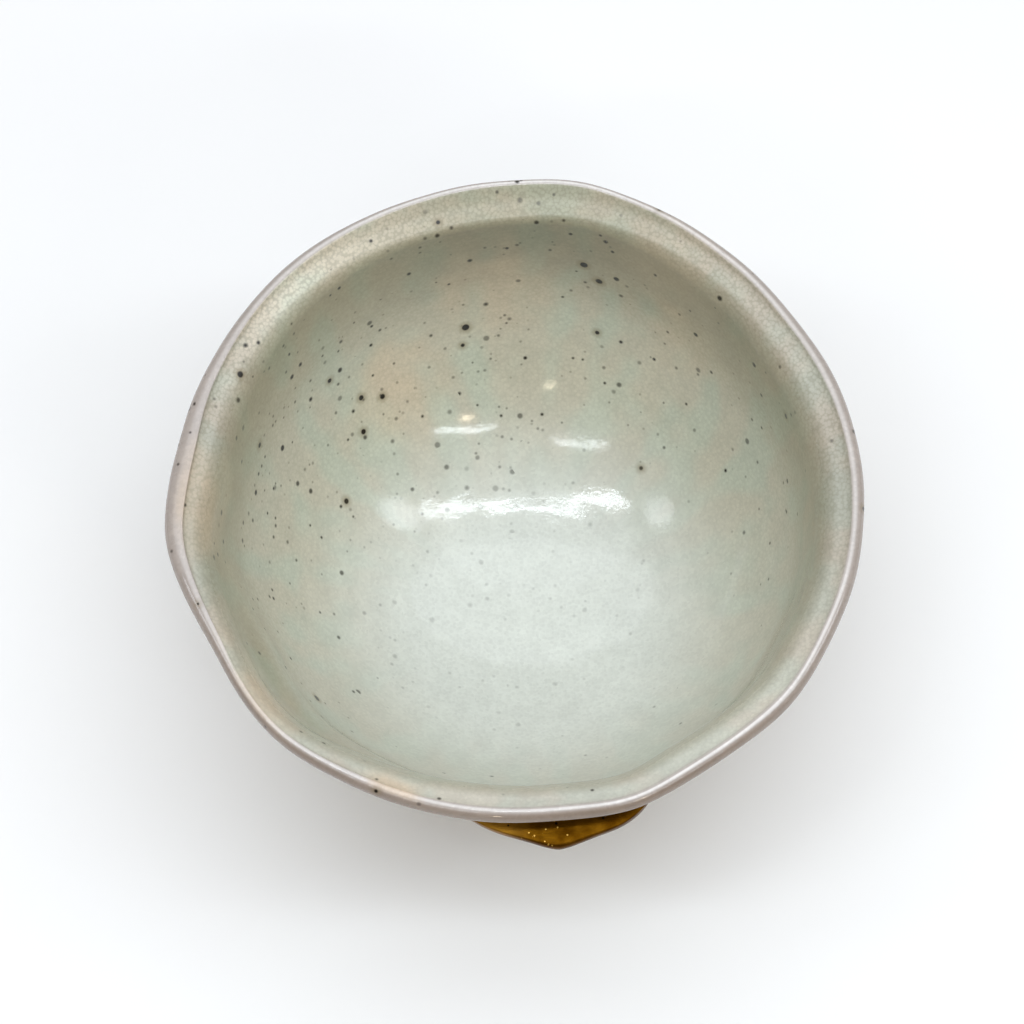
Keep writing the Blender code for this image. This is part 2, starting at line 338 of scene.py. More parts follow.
def inner_profile(bearing):
    """Inside of the bowl, from the middle of the floor up to the crest of the lip, in four stretches."""
    edge = LIP_EDGE_WIDTH + swell(bearing, EDGE_SWELLS)
    band = LIP_BAND_WIDTH + swell(bearing, BAND_SWELLS)
    crest = Vector((RIM_DIAMETER / 2 - edge, BOWL_HEIGHT))
    crease = Vector((crest.x - band, BOWL_HEIGHT - LIP_BAND_DROP))
    floor_middle = Vector((0.0, RECESS_DEPTH + FLOOR_THICKNESS))
    shoulder_radius = RIM_DIAMETER / 2 - LIP_EDGE_WIDTH - LIP_BAND_WIDTH - UPPER_WALL_LEAN
    shoulder = Vector((shoulder_radius, crease.y - UPPER_WALL_DEPTH))
    lean = Vector((UPPER_WALL_LEAN, UPPER_WALL_DEPTH)).normalized()
    slope = (crest - crease).normalized()
    steep = way(UPPER_WALL_ANGLE)
    crease_reach = CREASE_RADIUS + swell(bearing, CREASE_SWELLS)
    under = crease - steep * crease_reach
    over = crease + slope * crease_reach
    third = UPPER_WALL_DEPTH / 3
    half = crease_reach / 2
    well = [floor_middle] + bend(floor_middle, way(0), shoulder, lean, WELL_FULLNESS * shoulder.x,
                                 WALL_FULLNESS * (shoulder.y - floor_middle.y), WELL_STEPS)
    wall = bend(shoulder, lean, under, steep, third, third, UPPER_WALL_STEPS)
    near = swell(bearing, EVEN_SIDE)
    leave = Vector((slope.x, slope.y * (BAND_STEEPNESS + NEAR_BAND_STEEPNESS * near))).normalized()
    turn = bend(under, steep, over, leave, half, half, CREASE_STEPS)
    band_top = bend(over, leave, crest, way(0), (BAND_PULL + NEAR_BAND_PULL * near) * band,
                    CREST_PULL + NEAR_CREST_PULL * near, BAND_STEPS)
    return well, wall, turn, band_top


print("points on the inside:", sum(len(stretch) for stretch in inner_profile(0)))

# %% [markdown]
# ## The little leaf under the lip
# A scrap of clay was pinched to a leaf and pressed on under the lip, with its point outwards. In a section
# it is a shelf: nearly flat on top, round at the edge, and smoothed back into the wall below. Its reach
# changes with the bearing, which draws the leaf: one flank nearly straight, the other fuller, and a small
# point in the middle. Gold covers it where it stands clear of the wall, and ends underneath in the same
# leaf shape.

# %% Leaf-shaped lug
LUG_TOP_STEPS, LUG_EDGE_STEPS, LUG_UNDER_STEPS = 4, 4 * FINE, 8 * FINE


def lug_reach(bearing):
    """How far the lug stands out of the wall at a bearing."""
    away = math.radians((bearing - LUG_BEARING + 180) % 360 - 180) * RIM_DIAMETER / 2
    length, fullness = (LUG_RIGHT, LUG_RIGHT_ROUND) if away > 0 else (LUG_LEFT, LUG_LEFT_ROUND)
    share = abs(away) / length
    if share >= 1:
        return 0.0
    leaf = (1 - LUG_TIP_SHARE) * (1 - share ** fullness)
    return LUG_REACH * (leaf + LUG_TIP_SHARE * math.exp(-(share / LUG_TIP_SPREAD) ** 2) * (1 - share))


def lug_rows():
    """Section of the lug as (depth under its upper face, share of the reach), from the top to the root."""
    flat_share = 1 - LUG_EDGE_SHARE
    rows = [(LUG_TOP_FALL * step / LUG_TOP_STEPS, flat_share * step / LUG_TOP_STEPS)
            for step in range(LUG_TOP_STEPS)]
    edge_middle = LUG_TOP_FALL + LUG_EDGE / 2
    for step in range(LUG_EDGE_STEPS + 1):
        angle = math.pi / 2 - math.pi * step / LUG_EDGE_STEPS
        depth = edge_middle - LUG_EDGE / 2 * math.sin(angle)
        rows.append((depth, flat_share + LUG_EDGE_SHARE * math.cos(angle)))
    edge_end = LUG_TOP_FALL + LUG_EDGE
    for step in range(1, LUG_UNDER_STEPS + 1):
        share = step / LUG_UNDER_STEPS
        depth = edge_end + (LUG_ROOT - edge_end) * share
        rows.append((depth, flat_share * (1 + math.cos(math.pi * share)) / 2))
    return rows


LUG_ROWS = lug_rows()
# The least reach that is gilded, and how many times its reach the gold goes down
GILT_START = 0.35 * MM
GILT_DEPTH = 1.3


def gilded(bearing, row):
    """Whether the gold coat covers this row of the lug at a bearing."""
    reach = lug_reach(bearing)
    return reach > GILT_START and LUG_ROWS[row][0] < LUG_TOP_FALL + GILT_DEPTH * reach


print("lug reaches", round(lug_reach(LUG_BEARING) / MM, 1), "mm out of the wall")

# %% [markdown]
# ## Outside and foot
# The outside starts at the crest of the lip, rolls over its edge, tucks in to the neck and follows the
# offset wall down past the lug to the foot. The foot ring was cut with a trimming tool when the clay was
# leather hard, so its edges are crisp small bevels instead of soft bends, and the recess keeps a faint
# swelling in the middle.

# %% Outside of the bowl
LIP_STEPS, OUTER_STEPS, FOOT_STEPS, RECESS_STEPS = 4 * FINE, 9 * FINE, 2 * FINE, 5 * FINE
RING_STEPS = 3


def outer_profile(bearing, inside, crest):
    """Outside of the bowl, from the crest of the lip to the middle of the recess, in six stretches."""
    edge = Vector((RIM_DIAMETER / 2, BOWL_HEIGHT - LIP_EDGE_DROP))
    shell = thickened(inside)[::-1]
    rise = (shell[0] - shell[1]).normalized()
    shell.insert(0, shell[0] + rise * (BOWL_HEIGHT - shell[0].y))
    upper = cut_at(shell, 1, BOWL_HEIGHT - NECK_DROP)
    neck = upper[0]
    fall = (upper[1] - neck).normalized()
    down = way(-90)
    lip = bend(crest, way(0), edge, down, (edge.x - crest.x) * ROUND_PULL, LIP_EDGE_DROP * ROUND_PULL,
               LIP_STEPS)
    lip_depth = NECK_DROP - LIP_EDGE_DROP
    under_lip = bend(edge, down, neck, fall, lip_depth / 3, lip_depth / 2, LIP_STEPS)

    reach = lug_reach(bearing)
    lug = []
    for depth, share in LUG_ROWS:
        place = cut_at(upper, 1, neck.y - LUG_UNDER_NECK - depth)[0]
        lug.append(place + Vector((reach * share, 0.0)))

    foot_radius = FOOT_DIAMETER / 2
    below = cut_at(upper, 1, neck.y - LUG_UNDER_NECK - LUG_ROOT)
    end = cut_at(below, 0, foot_radius + FOOT_FILLET)[0]
    belly = spaced([point for point in below if point.x > end.x] + [end], OUTER_STEPS)[1:]
    hollow = Vector((foot_radius, end.y - FOOT_FILLET))
    pull = FOOT_FILLET * ROUND_PULL
    foot = bend(end, way(HEEL_ANGLE), hollow, way(FOOT_ANGLE), pull, pull, FOOT_STEPS)

    ground = foot_radius - FOOT_TAPER
    inner_edge = foot_radius - FOOT_RING_WIDTH
    ring_corners = [foot[-1], Vector((ground, FOOT_BEVEL)), Vector((ground - FOOT_BEVEL, 0.0)),
                    Vector((inner_edge + FOOT_BEVEL, 0.0)), Vector((inner_edge, FOOT_BEVEL)),
                    Vector((inner_edge, RECESS_DEPTH - FOOT_BEVEL)),
                    Vector((inner_edge - FOOT_BEVEL, RECESS_DEPTH))]
    ring = []
    for before, after in zip(ring_corners, ring_corners[1:]):
        ring += [before.lerp(after, step / RING_STEPS) for step in range(1, RING_STEPS + 1)]
    ceiling = ring[-1]
    middle = Vector((0.0, RECESS_DEPTH - RECESS_BOSS))
    recess = bend(ceiling, way(180), middle, way(180), ceiling.x / 3, ceiling.x / 3, RECESS_STEPS)
    return lip, under_lip, lug, belly, foot + ring, recess


# %% [markdown]
# ## Painting by station
# The glaze looks different on each stretch of the wall: thin on the lip, sandy on the band, thick and pale
# where it pooled in the well, paler further up the near wall with painted light from behind, and none at
# all on the foot. The section knows which stretch each point is on, so the mesh can carry that as named
# numbers on its points. The colours and the materials read them back, and no mask has to be painted. The
# last number, line, marks the very crest of the lip, where a pale thread is a painted highlight for the
# reflection of the tube overhead.

# %% Section with its stations
GLAZE_END = 13 * MM
STATIONS = ("glazed", "band", "edge", "outside", "line")
# Shares of the band or of the lip's roll over which a station sets in, or fades for the painted highlight
# line on the lip
EDGE_ON_BAND = (0.80, 0.90)
HIGHLIGHT_ON_BAND = (0.88, 1.0)
HIGHLIGHT_ON_LIP = (0.04, 0.24)
OUTSIDE_ON_LIP = (0.05, 0.45)
# Where the lip's colour starts softly instead of sharply, and how much earlier
SOFT_LIP = ((300, 1.0, 62), (188, 0.7, 28))
SOFT_START = 0.55


def smooth(value, start, end):
    """0 before start, 1 after end, and a soft step between."""
    share = min(max((value - start) / (end - start), 0.0), 1.0)
    return share * share * (3 - 2 * share)


def section(bearing):
    """Whole section as (point, station numbers, on the lug), from the floor's middle to the recess's."""
    well, wall, turn, band_top = inner_profile(bearing)
    lip, under_lip, lug, belly, foot, recess = outer_profile(bearing, well + wall, band_top[-1])
    edge_start = EDGE_ON_BAND[0] - SOFT_START * swell(bearing, SOFT_LIP)
    stretches = {"well": well, "wall": wall, "turn": turn, "band": band_top, "lip": lip,
                 "under_lip": under_lip, "lug": lug, "belly": belly, "foot": foot, "recess": recess}
    rows = []
    for name, stretch in stretches.items():
        for index, point in enumerate(stretch):
            share = (index + 1) / len(stretch)
            band = {"turn": share, "band": 1.0, "lip": 1 - share}.get(name, 0.0)
            edge_on_band = smooth(share, edge_start, EDGE_ON_BAND[1])
            edge = {"band": edge_on_band, "lip": 1.0, "under_lip": 1 - share}.get(name, 0.0)
            # The line station is a painted highlight on the lip's crest, for the reflection of the tube
            # overhead
            highlight_on_lip = 1 - smooth(share, *HIGHLIGHT_ON_LIP)
            line = {"band": smooth(share, *HIGHLIGHT_ON_BAND), "lip": highlight_on_lip}.get(name, 0.0)
            inner = name in ("well", "wall", "turn", "band")
            outside = smooth(share, *OUTSIDE_ON_LIP) if name == "lip" else float(not inner)
            bare = name in ("foot", "recess") or (name == "belly" and point.y < GLAZE_END)
            stations = (float(not bare), band, edge, outside, line)
            rows.append((point, stations, name == "lug" and gilded(bearing, index)))
    return rows


first_section = section(0)
print("points in a section:", len(first_section))

# %% [markdown]
# ## Out of round
# No hand-thrown rim is a true circle. Fingers lifted it, pushed it in a few places and let it settle a
# little to one side of the foot. Each of those traces is one bump on the bearing, strongest at the rim and
# gone at the foot, so the bowl still stands level.


# %% Hand-shaped points
def hand_shaped(point, bearing):
    """A point of the turned section set at its bearing and pressed out of round."""
    angle = math.radians(bearing)
    foot_top = RECESS_DEPTH + FLOOR_THICKNESS
    height = min(max((point.y - foot_top) / (BOWL_HEIGHT - foot_top), 0.0), 1.0)
    share = height * height * (3 - 2 * height)
    radius = point.x + swell(bearing, HAND_PRESSES) * share
    x = radius * math.cos(angle) + RIM_SHIFT.x * share
    y = radius * math.sin(angle) + RIM_SHIFT.y * share
    return Vector((x, y, point.y + swell(bearing, RIM_WAVES) * share * share))


ROUND_STEPS, LUG_SIDE_STEPS = 60 * FINE, 9 * FINE


def bearings():
    """Bearings of the sections, closer together across the lug."""
    turn = math.degrees(1 / (RIM_DIAMETER / 2))
    first = LUG_BEARING - LUG_LEFT * turn
    last = LUG_BEARING + LUG_RIGHT * turn
    result = [first + (LUG_BEARING - first) * step / LUG_SIDE_STEPS for step in range(LUG_SIDE_STEPS)]
    result += [LUG_BEARING + (last - LUG_BEARING) * step / LUG_SIDE_STEPS for step in range(LUG_SIDE_STEPS)]
    result += [last + (first + 360 - last) * step / ROUND_STEPS for step in range(ROUND_STEPS)]
    return result


# %% Mesh of the bowl
def bowl_mesh():
    """Closed mesh with station numbers on its points; slot 0 is glaze, 1 the gold coat, 2 bare clay."""
    turns = bearings()
    columns = [section(bearing) for bearing in turns]
    placed = [[hand_shaped(row[0], bearing) for row in column] for column, bearing in zip(columns, turns)]
    every = [point for column in placed for point in column]
    shift = Vector((0.0, 0.0, 0.0))
    for axis in (0, 1):
        shift[axis] = (min(p[axis] for p in every) + max(p[axis] for p in every)) / 2

    mesh = bmesh.new()
    layers = [mesh.verts.layers.float.new(name) for name in STATIONS]

    def new_vertex(point, stations):
        vertex = mesh.verts.new(point - shift)
        for layer, value in zip(layers, stations):
            vertex[layer] = value
        return vertex

    bottom = new_vertex(placed[0][0], columns[0][0][1])
    under = new_vertex(placed[0][-1], columns[0][-1][1])
    rings = [[new_vertex(point, row[1]) for point, row in zip(points[1:-1], column[1:-1])]
             for points, column in zip(placed, columns)]
    # Rings leave out the first row of a column, so row + 2 is the further one of a face's two rows
    for index, ring in enumerate(rings):
        following = rings[(index + 1) % len(rings)]
        mesh.faces.new((bottom, ring[0], following[0]))
        mesh.faces.new((under, following[-1], ring[-1])).material_index = 2
        on_lug = index < 2 * LUG_SIDE_STEPS
        for row in range(len(ring) - 1):
            face = mesh.faces.new((ring[row], ring[row + 1], following[row + 1], following[row]))
            _, stations, is_lug = columns[index][row + 2]
            face.material_index = 1 if is_lug and on_lug else (0 if stations[0] else 2)
    bmesh.ops.recalc_face_normals(mesh, faces=mesh.faces)
    return mesh, shift


mesh, shift = bowl_mesh()
print("faces:", len(mesh.faces), "foot's middle is", [round(-value / MM, 1) for value in shift], "mm off")

# %% [markdown]
# ## Ripples in the clay and the glaze
# Fingers leave slow rings in the clay, and thick glaze sets with a faint unevenness like orange peel. Both
# are far too shallow to see as shape, about a tenth of a millimetre, but a glossy surface shows them at
# once, because they bend every reflection. They are real moves of the mesh here, along each point's normal.

# %% Ripples
THROWING_PITCH = 5.5 * MM
THROWING_DEPTH = 0.06 * MM
# The rings come and go over this length, around this share of their depth
THROWING_FADE = 30 * MM
THROWING_SHARE = 0.6
GLAZE_WAVE = 13 * MM
GLAZE_DEPTH = 0.13 * MM
PEEL_WAVE = 3.5 * MM
PEEL_DEPTH = 0.025 * MM
PEEL_LOST_ON_LIP = 0.8
# The pale thick glaze is centred a little towards the near side, where its paleness is also painted light
# from behind, and thins out between the two radii
POOL_MIDDLE = (3 * MM, -6 * MM)
POOL_RADII = (20 * MM, 50 * MM)

mesh.normal_update()
mesh.verts.layers.float.new("pool")
layers = {name: mesh.verts.layers.float[name] for name in STATIONS + ("pool",)}
for vertex in mesh.verts:
    spot = vertex.co
    turned = spot + shift
    if vertex[layers["outside"]] == 0 and vertex[layers["band"]] == 0:
        # The pale pool reaches further up the near wall, partly as painted light from behind
        from_pool = math.hypot(spot.x - POOL_MIDDLE[0], spot.y - POOL_MIDDLE[1])
        vertex[layers["pool"]] = 1 - smooth(from_pool, *POOL_RADII)
    ring_place = (math.hypot(turned.x, turned.y) + turned.z) / THROWING_PITCH
    ring_place += math.atan2(turned.y, turned.x) / (2 * math.pi)
    outer_body = vertex[layers["outside"]] * (1 - vertex[layers["edge"]])
    rings = (vertex[layers["pool"]] + outer_body) * THROWING_DEPTH
    ripple = math.sin(2 * math.pi * ring_place) * rings * (THROWING_SHARE + noise.noise(spot / THROWING_FADE))
    wave = noise.noise(spot / GLAZE_WAVE) * GLAZE_DEPTH
    wave += noise.noise(spot / PEEL_WAVE) * PEEL_DEPTH * (1 - PEEL_LOST_ON_LIP * vertex[layers["edge"]])
    vertex.co = spot + vertex.normal * (ripple + wave) * vertex[layers["glazed"]]
print("glaze waves, mm:", GLAZE_WAVE / MM, "wide and", GLAZE_DEPTH / MM, "deep")

# %% [markdown]
# ## Broad colours of the glaze
# This is a celadon-like stoneware glaze: a clear glass with a little iron in it, over pale clay. Where it
# is thick it looks pale and a little blue-green, where it is thin it lets the warm clay through, and on the
# lip it goes pinkish grey. Under the lip it ran down in soft streaks, some greener and some browner. In a
# few places the flame turned it peach. All of that is broad and soft, so it is worked out once for each
# point of the mesh and stored as a colour. Fine patterns come later, in the material.
# The stored colour also holds painted light and shade: shade on the far side, under the crease and on the
# lip's roll, light on the near side and band, and a painted highlight on the lip's crest.

# %% Colours to mix
WELL_COLOUR = Vector(linear("#d1d4cc")[:3])
WALL_GREEN = Vector(linear("#bcc0ae")[:3])
WALL_BROWN = Vector(linear("#c1bca9")[:3])
BAND_GREEN = Vector(linear("#b7b7a8")[:3])
BAND_SAND = Vector(linear("#beb5a5")[:3])
EDGE_COLOUR = Vector(linear("#b5aca6")[:3])
# Colour of the painted shade on the lip's rolled edge
LIP_SHADE_COLOUR = Vector(linear("#8f8073")[:3])
# Colour of the painted highlight on the crest of the lip
PAINTED_HIGHLIGHT_COLOUR = Vector(linear("#f3f0ed")[:3])
BLUSH_COLOUR = Vector(linear("#d6bd9f")[:3])
OUTSIDE_COLOUR = Vector(linear("#b1aa96")[:3])
# Streaks: how many go round, how long they are, and the noise between which brown turns to green
STREAK_TURNS = 8.0
STREAK_LENGTH = 20 * MM
STREAK_GRAIN = 6 * MM
STREAK_GRAIN_SHARE = 0.5
GREEN_STREAK = (-0.22, 0.45)
# Sandy patches on the band, likewise
PATCH = 9 * MM
PATCH_GRAIN = 2.5 * MM
PATCH_GRAIN_SHARE = 0.4
SANDY_PATCH = (-0.35, 0.35)
# What is left of red, green and blue close under the crease: painted shade under the lip's band, with a brown
# tint
SHADED = (0.66, 0.63, 0.54)
SHADED_HEIGHTS = (40 * MM, 64 * MM)
# Painted shade makes the upper glaze darker on the far side, and painted light makes it lighter on the near
# side; each swell is a bearing, a share and a spread in degrees
PAINTED_LIGHT_AND_SHADE = ((88, -0.20, 38), (270, 0.10, 50), (130, 0.06, 20), (50, -0.06, 18))
PAINTED_LIGHT_AND_SHADE_HEIGHTS = (36 * MM, 58 * MM)
# The band has painted light and shade in places, loses blue on the far side, and is pale on the near side
# with painted light
BAND_PAINTED_LIGHT = ((133, 0.24, 16), (312, 0.12, 18), (280, -0.04, 15), (2, -0.16, 20), (180, -0.24, 16))
WARM_BAND = ((90, 0.12, 38),)
NEAR_SIDE = ((285, 1.0, 50),)
NEAR_BAND_PAINTED_LIGHT = 0.35
# Painted shade on the lip's rolled edge: darker on the near side and outside, most where the last list says
NEAR_LIP, OUTER_LIP, DARKEST_LIP = 0.12, 0.25, 0.63
LIP_SHADE_SWELLS = ((290, 1.0, 45), (225, 0.8, 25))
# How strong the painted highlight on the lip's crest is, by bearing
PAINTED_HIGHLIGHT_STRENGTH = ((85, 0.75, 50), (305, 0.65, 55), (225, 0.3, 25))
WALL_SHOWS_OUTSIDE = 0.4
MOTTLE = 4 * MM
MOTTLE_STRENGTH = 0.06

# Places and radii of blushes in millimetres, and how strong each one is
BLUSHES = (((-24, 38, 33), 11, 0.42), ((-3, 52, 47), 13, 0.35), ((32, 41, 46), 10, 0.25),
           ((-56, -1, 69), 10, 0.4), ((-44, -37, 69), 10, 0.4), ((30, 48, 62), 14, 0.15),
           ((-22, -57, 69.5), 5, 0.6))
# Shares of its radius between which a blush fades, and how far its edge wanders, in millimetres
BLUSH_FADE = (0.2, 1.4)
BLUSH_WANDER = 5
BLUSH_WAVE = 5 * MM


def glaze_colour(spot, pool, band, edge, outside, line):
    """Broad colour of the glaze at a place with its station numbers."""
    angle = math.atan2(spot.y, spot.x)
    bearing = math.degrees(angle)
    near = swell(bearing, NEAR_SIDE)
    around = Vector((math.cos(angle), math.sin(angle), 0.0)) * STREAK_TURNS
    streak = noise.noise(around + Vector((0, 0, spot.z / STREAK_LENGTH)))
    streak += STREAK_GRAIN_SHARE * noise.noise(spot / STREAK_GRAIN)
    wall = WALL_BROWN.lerp(WALL_GREEN, smooth(streak, *GREEN_STREAK))
    shaded = Vector([part * kept for part, kept in zip(wall, SHADED)])
    # Painted shade: the wall is darker and browner close under the crease
    wall = wall.lerp(shaded, smooth(spot.z, *SHADED_HEIGHTS) * (1 - outside))
    colour = wall.lerp(WELL_COLOUR, pool)
    colour = colour.lerp(OUTSIDE_COLOUR.lerp(wall, WALL_SHOWS_OUTSIDE), outside * (1 - edge))

    patch = noise.noise(spot / PATCH) + PATCH_GRAIN_SHARE * noise.noise(spot / PATCH_GRAIN)
    band_colour = BAND_GREEN.lerp(BAND_SAND, smooth(patch, *SANDY_PATCH))
    # Painted light: the near side of the band is paler
    band_colour = band_colour.lerp(WELL_COLOUR, NEAR_BAND_PAINTED_LIGHT * near)
    band_colour.z *= 1 - swell(bearing, WARM_BAND)
    # Painted light and shade on the band, by bearing
    colour = colour.lerp(band_colour * (1 + swell(bearing, BAND_PAINTED_LIGHT)), band)
    # Painted light and shade on the upper wall and the band, by bearing
    upper = max(band, smooth(spot.z, *PAINTED_LIGHT_AND_SHADE_HEIGHTS)) * (1 - outside)
    colour *= 1 + swell(bearing, PAINTED_LIGHT_AND_SHADE) * upper

    # Painted shade on the lip's rolled edge, on the near side and on its outer side
    darker = NEAR_LIP * near + outside * (OUTER_LIP + DARKEST_LIP * swell(bearing, LIP_SHADE_SWELLS))
    colour = colour.lerp(EDGE_COLOUR.lerp(LIP_SHADE_COLOUR, darker), edge)
    # Painted highlight: a pale line on the crest of the lip for the reflection of the overhead tube
    colour = colour.lerp(PAINTED_HIGHLIGHT_COLOUR, line * swell(bearing, PAINTED_HIGHLIGHT_STRENGTH))
    for place, radius, strength in BLUSHES:
        reach = (spot / MM - Vector(place)).length + BLUSH_WANDER * noise.noise(spot / BLUSH_WAVE)
        share = strength * (1 - smooth(reach, BLUSH_FADE[0] * radius, BLUSH_FADE[1] * radius)) * (1 - outside)
        colour = colour.lerp(BLUSH_COLOUR, share)
    return colour * (1 + MOTTLE_STRENGTH * noise.noise(spot / MOTTLE))


# %% Colour every point
SHARP_ANGLE = math.radians(40)
tint_layer = mesh.verts.layers.float_color.new("tint")
for vertex in mesh.verts:
    numbers = [vertex[layers[name]] for name in ("pool", "band", "edge", "outside", "line")]
    vertex[tint_layer] = (*glaze_colour(vertex.co, *numbers), 1.0)

data = bpy.data.meshes.new("tea_bowl_glazed")
mesh.to_mesh(data)
mesh.free()
data.shade_smooth()
data.set_sharp_from_angle(angle=SHARP_ANGLE)
bowl = bpy.data.objects.new("tea_bowl_glazed", data)
bpy.context.scene.collection.objects.link(bowl)
print("triangles:", sum(len(face.vertices) - 2 for face in data.polygons))

# %% [markdown]
# ## The glaze's fine grain
# As the pot cools, the glaze shrinks more than the clay and tears into a net of hair cracks, with cells
# under a millimetre wide here. Dirt and tea settle in the net, darkest where cracks meet. A Voronoi texture
# scatters points and gives the distance to the nearest one: each point is a cell, and the places far from
# every point are the corners of the net. On the band the corners look dark, in the thick pool they look
# pale, and the net shows best on the far band and hardly on the near one. Real cracks are a few hundredths
# of a millimetre wide, too fine for a picture of this size, so they are drawn about 0.1 mm wide.

# %% Crackle
CELL = 0.6 * MM
# Distance from a cell's point, in cells, at which the net starts and at which it is full
NET_DISTANCES = (0.42, 0.72)
CELL_LIGHT = (0.95, 1.05)
# How strongly the net shows, how far from back to front the band's net fades, and what the smooth lip keeps
WELL_NET, FAR_BAND_NET, NEAR_BAND_NET = 0.10, 0.34, 0.06
NET_FADE = (-55 * MM, 15 * MM)
LIP_KEEPS = 0.15

glaze, tree, shader = new_material("celadon_crackle_glaze")
place = node(tree, "ShaderNodeTexCoord").outputs["Object"]
pool = node(tree, "ShaderNodeAttribute", attribute_name="pool").outputs["Fac"]
band = node(tree, "ShaderNodeAttribute", attribute_name="band").outputs["Fac"]
edge = node(tree, "ShaderNodeAttribute", attribute_name="edge").outputs["Fac"]
tint = node(tree, "ShaderNodeAttribute", attribute_name="tint").outputs["Color"]


# These helpers add to the material that is being made, so they use its tree and its place
def blended(factor, first, second):
    """Colour between two colours or wires."""
    return node(tree, "ShaderNodeMix", {0: factor, 6: first, 7: second}, data_type="RGBA").outputs[2]


def ranged(value, start, end, low=0.0, high=1.0):
    """Value carried over from one range to another, and kept inside it."""
    return node(tree, "ShaderNodeMapRange", {0: value, 1: start, 2: end, 3: low, 4: high}).outputs[0]


def math_of(operation, first, second, third=0.0):
    """One sum, product or comparison."""
    return node(tree, "ShaderNodeMath", {0: first, 1: second, 2: third}, operation=operation).outputs[0]


def cells(size):
    """Points scattered a size apart: distance to the nearest, in sizes, and its three random numbers."""
    made = node(tree, "ShaderNodeTexVoronoi", {"Vector": place, "Scale": 1 / size}, feature="F1")
    luck = node(tree, "ShaderNodeSeparateColor", {0: made.outputs["Color"]}).outputs
    return made.outputs["Distance"], luck


def clouds(size, detail):
    """Soft noise with waves of a size."""
    sockets = {"Vector": place, "Scale": 1 / size, "Detail": detail}
    return node(tree, "ShaderNodeTexNoise", sockets).outputs["Fac"]


def distance_to(point):
    """Distance from the spot that is being coloured to a fixed point of the bowl."""
    return node(tree, "ShaderNodeVectorMath", {0: place, 1: point}, operation="DISTANCE").outputs["Value"]


def lit(colour, light):
    """Colour times a number or wire."""
    return node(tree, "ShaderNodeVectorMath", {0: colour, "Scale": light}, operation="SCALE").outputs[0]


distance, luck = cells(CELL)
corner = ranged(distance, *NET_DISTANCES)
tone = lit(tint, ranged(luck[0], 0.0, 1.0, *CELL_LIGHT))
smooth_lip = ranged(edge, 0.0, 1.0, 1.0, LIP_KEEPS)
across = node(tree, "ShaderNodeSeparateXYZ", {0: place}).outputs
band_net = ranged(across[1], *NET_FADE, NEAR_BAND_NET, FAR_BAND_NET)
net_strength = ranged(band, 0.0, 1.0, WELL_NET, band_net)
corner_share = math_of("MULTIPLY", math_of("MULTIPLY", corner, smooth_lip), net_strength)
tone = blended(corner_share, tone, blended(pool, linear("#77745f"), linear("#eef3ec")))
print("cells are", CELL / MM, "mm wide")

# %% [markdown]
# ## Iron specks
# Grains of iron ore in the clay melt through the glaze as dark dots, most of them under a millimetre wide.
# Voronoi points are a good scatter: a dot is where the nearest point is closer than its own small radius.
# They crowd on the far side and the left, and in the well the thicker glaze veils them.

# %% Scattered specks
# Spacing, radius and share of the points that become specks
SPECK_FIELDS = ((3.4 * MM, 0.62 * MM, 0.85), (2.2 * MM, 0.38 * MM, 0.80))
# What is left of the specks under thick glaze, on the near side, on the right and on the band
VEILED, NEAR_SPECKS, RIGHT_SPECKS, BAND_SPECKS = 0.28, 0.22, 0.30, 0.45
# Over which depths of the pool, places from front to back and places from left to right that changes
VEIL_DEPTHS = (0.1, 0.95)
FAR_PLACES = (-30 * MM, 25 * MM)
RIGHT_PLACES = (-5 * MM, 50 * MM)
# Clumps: their size, the noise that counts, and how thinly and how densely specks stand
CLUMP = 14 * MM
CLUMP_NOISE = (0.35, 0.62)
CLUMP_DENSITY = (0.35, 1.3)
# The smallest speck as a share of the largest, the palest as a share of the darkest, and how an edge fades
SMALLEST_SPECK = 0.45
PALEST_SPECK = 0.5
FADE_OUT, FADE_IN = -0.16 * MM, 0.20 * MM

veil = ranged(pool, *VEIL_DEPTHS, 1.0, VEILED)
far_side = ranged(across[1], *FAR_PLACES, NEAR_SPECKS, 1.0)
left_side = ranged(across[0], *RIGHT_PLACES, 1.0, RIGHT_SPECKS)
clumps = ranged(clouds(CLUMP, 0.0), *CLUMP_NOISE, *CLUMP_DENSITY)
crowd = math_of("MULTIPLY", math_of("MULTIPLY", far_side, left_side), clumps)
crowd = math_of("MULTIPLY", crowd, ranged(band, 0.0, 1.0, 1.0, BAND_SPECKS))
speck = 0.0
for spacing, radius, share in SPECK_FIELDS:
    distance, luck = cells(spacing)
    size = ranged(luck[1], 0.0, 1.0, SMALLEST_SPECK * radius / spacing, radius / spacing)
    kept = math_of("LESS_THAN", luck[0], math_of("MULTIPLY", crowd, share))
    dot = ranged(math_of("SUBTRACT", size, distance), FADE_OUT / spacing, FADE_IN / spacing)
    dot = math_of("MULTIPLY", dot, ranged(luck[2], 0.0, 0.7, PALEST_SPECK, 1.0))
    speck = math_of("MAXIMUM", speck, math_of("MULTIPLY", dot, kept))
speck = math_of("MULTIPLY", speck, veil)
print("speck fields:", len(SPECK_FIELDS))

# %% [markdown]
# ## Large specks
# The largest specks are what the eye goes to first, so they get places of their own. The distance to the
# nearest of them draws all at once: a dark middle, and a wider rusty ring where the iron bled into the
# glass. Each place is first moved to the nearest spot of the glaze, because a speck that floats beside the
# surface wouldn't show.

